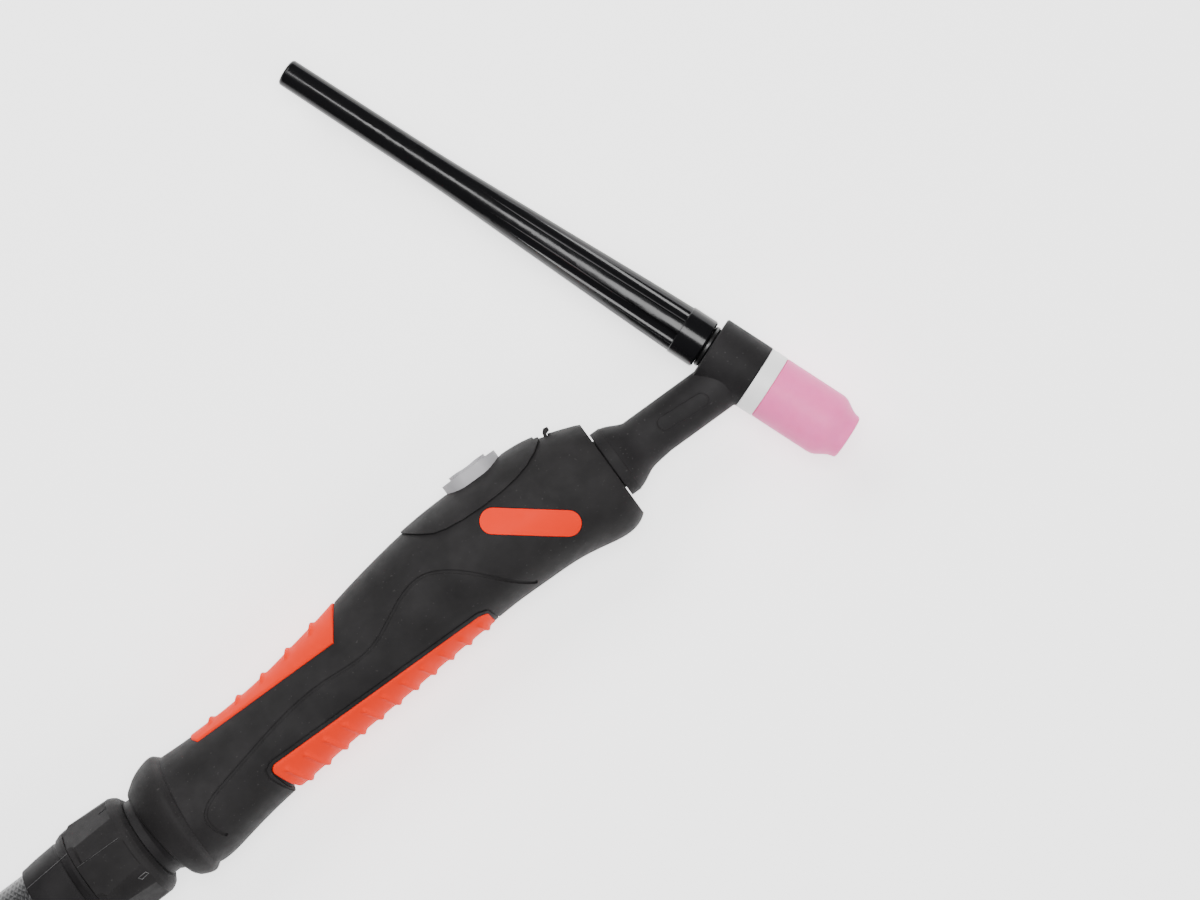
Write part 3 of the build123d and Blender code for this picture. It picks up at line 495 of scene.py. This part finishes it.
# ------------------------------------------------------------------ soft inserts with their ribs
def grip_section(s):
    """Centre, half height and half width of the grip at a station, on a smooth line."""
    n = max(1, min(len(GRIP) - 3, next((k for k, g in enumerate(GRIP) if g[0] > s), 99) - 1))
    before, start, end, after = GRIP[n - 1:n + 3]
    u = (s - start[0]) / (end[0] - start[0])
    values = []
    for k in (1, 2, 3):
        run = end[0] - start[0]
        slope_in = (end[k] - before[k]) / (end[0] - before[0]) * run
        slope_out = (after[k] - start[k]) / (after[0] - start[0]) * run
        values.append((2 * u**3 - 3 * u**2 + 1) * start[k] + (u**3 - 2 * u**2 + u) * slope_in
                      + (3 * u**2 - 2 * u**3) * end[k] + (u**3 - u**2) * slope_out)
    top, bottom, half = values
    return (top + bottom) / 2, (top - bottom) / 2, half


ALONG, ACROSS = 360, 72                        # steps of an insert's skin
ROUNDING, BEDDED, INSERT_DEPTH = 0.75, 0.15, 1.45    # of its rim, in its recess, and its underside
RIB_HEIGHT, RIB_HALF = 0.95, 1.0


def insert(name, node, upward, edge_t, ends, ribs, rib_reach, lean, proud=0.42):
    """A soft insert as one closed skin. upward is +1 over the top and -1 under the grip. edge_t
    gives its edge, ends its two ends for a place across it, and ribs their stations at the middle.
    """
    outer, inner = [], []
    for i in range(ALONG + 1):
        for j in range(ACROSS + 1):
            u = 2 * j / ACROSS - 1
            first, last = ends(abs(u))
            s = first + (last - first) * i / ALONG
            centre, tall, half = grip_section(s)
            reach = math.acos(max(-1.0, min(1.0, upward * (edge_t(s) - centre) / tall)))
            angle = u * reach
            t0 = centre + upward * tall * math.cos(angle)
            middle_t = centre + upward * tall
            rim = min((1 - abs(u)) * reach * (tall + half) / 2, (s - first), (last - s))
            height = proud * math.sqrt(max(0.0, 1 - (1 - min(1.0, rim / ROUNDING)) ** 2)) - BEDDED
            for rib in ribs:
                depth = abs(middle_t - t0)
                head = rib_reach(rib)
                away = abs(s - (rib - lean * depth))
                bar = math.exp(-((away / RIB_HALF) ** 2) * 1.3)
                end = 1 - smooth((depth - head + 0.8) / 1.1)
                height += RIB_HEIGHT * bar * end
            outer.append(at(s, centre + upward * (tall + height) * math.cos(angle),
                            (half + height) * math.sin(angle)))
            inner.append(at(s, centre + upward * (tall - INSERT_DEPTH) * math.cos(angle),
                            (half - INSERT_DEPTH) * math.sin(angle)))
    row = ACROSS + 1
    total = len(outer)
    faces = []
    for i in range(ALONG):
        for j in range(ACROSS):
            a, b = i * row + j, i * row + j + 1
            c, d = b + row, a + row
            faces.append((a, b, c, d))
            faces.append((total + d, total + c, total + b, total + a))
    border = ([j for j in range(ACROSS)] + [ACROSS + i * row for i in range(ALONG)]
              + [ALONG * row + ACROSS - j for j in range(ACROSS)]
              + [(ALONG - i) * row for i in range(ALONG)])
    for a, b in zip(border, border[1:] + border[:1]):
        faces.append((b, a, total + a, total + b))
    piece = mesh_piece(name, outer + inner, faces, "handle", insert_orange)
    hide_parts(node)


def upper_ends(u):
    """The rear end is nearly square; the front one slants back from the top to the side."""
    slant = (math.cos(u * math.radians(60)) - 0.5) / 0.5
    return 15.7 + 1.9 * u**3, 69.0 + 5.9 * slant


def lower_ends(u):
    """The rear end slants forward to the bottom, with rounded corners at the edges."""
    corner = max(0.0, u - 0.86) / 0.14
    return 34.4 - 3.6 * u**1.4 + 2.2 * corner**2.2, 112.0 - 2.6 * corner**2.2


insert(
    "upper_insert", "upper_grip_insert", 1, lambda s: 15.1, upper_ends,
    [24.0, 34.5, 44.5, 55.0, 65.5], lambda rib: 0.9 + 0.024 * (rib - 24), 0.7, 0.6)
insert(
    "lower_insert", "lower_grip_insert", -1, lambda s: -4.1 - 0.4 * (s - 33) / 77, lower_ends,
    [38.2 + 7.05 * n for n in range(11)], lambda rib: 7.6 - 0.068 * (rib - 38), 0.42)


# ------------------------------------------------------------------ moulded marks
def mark_line(name, points, radius, body, look, closed=False):
    """A fine raised line along points that lie on a surface."""
    curve = bpy.data.curves.new(name, "CURVE")
    curve.dimensions = "3D"
    line = curve.splines.new("POLY")
    line.points.add(len(points) - 1)
    for control, point in zip(line.points, points):
        control.co = (*point, 1)
    line.use_cyclic_u = closed
    curve.bevel_depth = radius * MM
    curve.bevel_resolution = 3
    curve.use_fill_caps = not closed
    return new_object(name, curve, body, look)


def on_round(s, t, radius, axis_t=0.0):
    """The point over (s, t) on a round of some radius along the grip, on its upper side."""
    return at(s, t, math.sqrt(radius**2 - (t - axis_t)**2))


# a blank oval frame on the neck
NECK_T, NECK_R = 9.7, 7.75
PILL_S, PILL_T, PILL_HALF, PILL_R, PILL_LEAN = 195.6, 9.5, 6.5, 2.3, math.radians(-4.5)
pill = []
for n in range(48):
    around = 2 * math.pi * n / 48
    x = PILL_R * math.cos(around) + math.copysign(PILL_HALF, math.cos(around))
    y = PILL_R * math.sin(around)
    pill.append(on_round(PILL_S + x * math.cos(PILL_LEAN) - y * math.sin(PILL_LEAN),
                         PILL_T + x * math.sin(PILL_LEAN) + y * math.cos(PILL_LEAN), NECK_R, NECK_T))
mark_line("neck_frame", pill, 0.16, "handle", insulation_black, True)

SLEEVE = [(-50.0, 14.45), (-45.0, 15.1), (-40.0, 15.5), (-37.6, 15.6), (-36.5, 15.55), (-36.2, 16.1),
          (-34.4, 16.85), (-33.4, 16.95)]
# the sleeve and nut lines below are coloured grey as a painted highlight along each raised line
mark_line("sleeve_seam", [on_round(s, 9.3 + (s + 51) * 0.088, r) for s, r in SLEEVE], 0.1,
          "hose_package", ridge_highlight_grey)
NUT = [(-32.8, 17.02), (-31.3, 17.15), (-30.6, 17.58), (-24.0, 17.37), (-17.6, 17.15)]
mark_line("nut_seam", [on_round(s, 5.7, r) for s, r in NUT], 0.07,
          "hose_package", ridge_highlight_grey)
mark_line("nut_mark", [on_round(s, t, 17.17) for s, t in [
    (-20.0, -7.6), (-17.0, -7.5), (-16.6, -8.3), (-19.2, -8.7)]], 0.16,
          "hose_package", ridge_highlight_grey, True)
mark_line("nut_notch", [on_round(s, t, 17.17) for s, t in [
    (-19.6, 14.9), (-17.2, 15.1), (-16.8, 15.6), (-17.4, 16.0)]], 0.14,
          "hose_package", knuckle_black)

# ------------------------------------------------------------------ light and floor
world = bpy.data.worlds.new("studio")
world.use_nodes = True
world.node_tree.nodes["Background"].inputs["Color"].default_value = (1, 1, 1, 1)
world.node_tree.nodes["Background"].inputs["Strength"].default_value = 0.08
bpy.context.scene.world = world


def softbox(name, right, up, height, size, watts, aim=(VIEW_S, VIEW_T)):
    """A rectangular softbox, placed in view directions from the view's middle, aimed at it."""
    data = bpy.data.lights.new(name, "AREA")
    data.shape, data.size, data.size_y, data.energy = "RECTANGLE", size[0], size[1], watts
    lamp = bpy.data.objects.new(name, data)
    bpy.context.scene.collection.objects.link(lamp)
    target = at(*aim)
    lamp.location = target + across_view * right + up_view * up + Vector((0, 0, height))
    lamp.rotation_euler = (target - lamp.location).to_track_quat("-Z", "Y").to_euler()


softbox("key", -0.5, 0.7, 0.9, (0.9, 0.5), 12.0)
softbox("fill", 0.7, -0.5, 0.9, (0.8, 0.6), 7.0)
softbox("top", 0.0, 0.1, 1.3, (0.5, 0.5), 16.0)

floor_mesh = bpy.data.meshes.new("floor")
floor_mesh.from_pydata([(-4, -4, 0), (4, -4, 0), (4, 4, 0), (-4, 4, 0)], [], [(0, 1, 2, 3)])
floor = bpy.data.objects.new("floor", floor_mesh)
bpy.context.scene.collection.objects.link(floor)
paper = Nodes("paper")
paper.link(paper.blend(paper.noise(40.0, 2.0), (0.93, 0.93, 0.93), (0.95, 0.95, 0.95)),
           paper.shader, "Base Color")
paper.set(Roughness=0.9, Emission_Color=(1, 1, 1, 1), Emission_Strength=1.7)
floor_mesh.materials.append(paper.material)
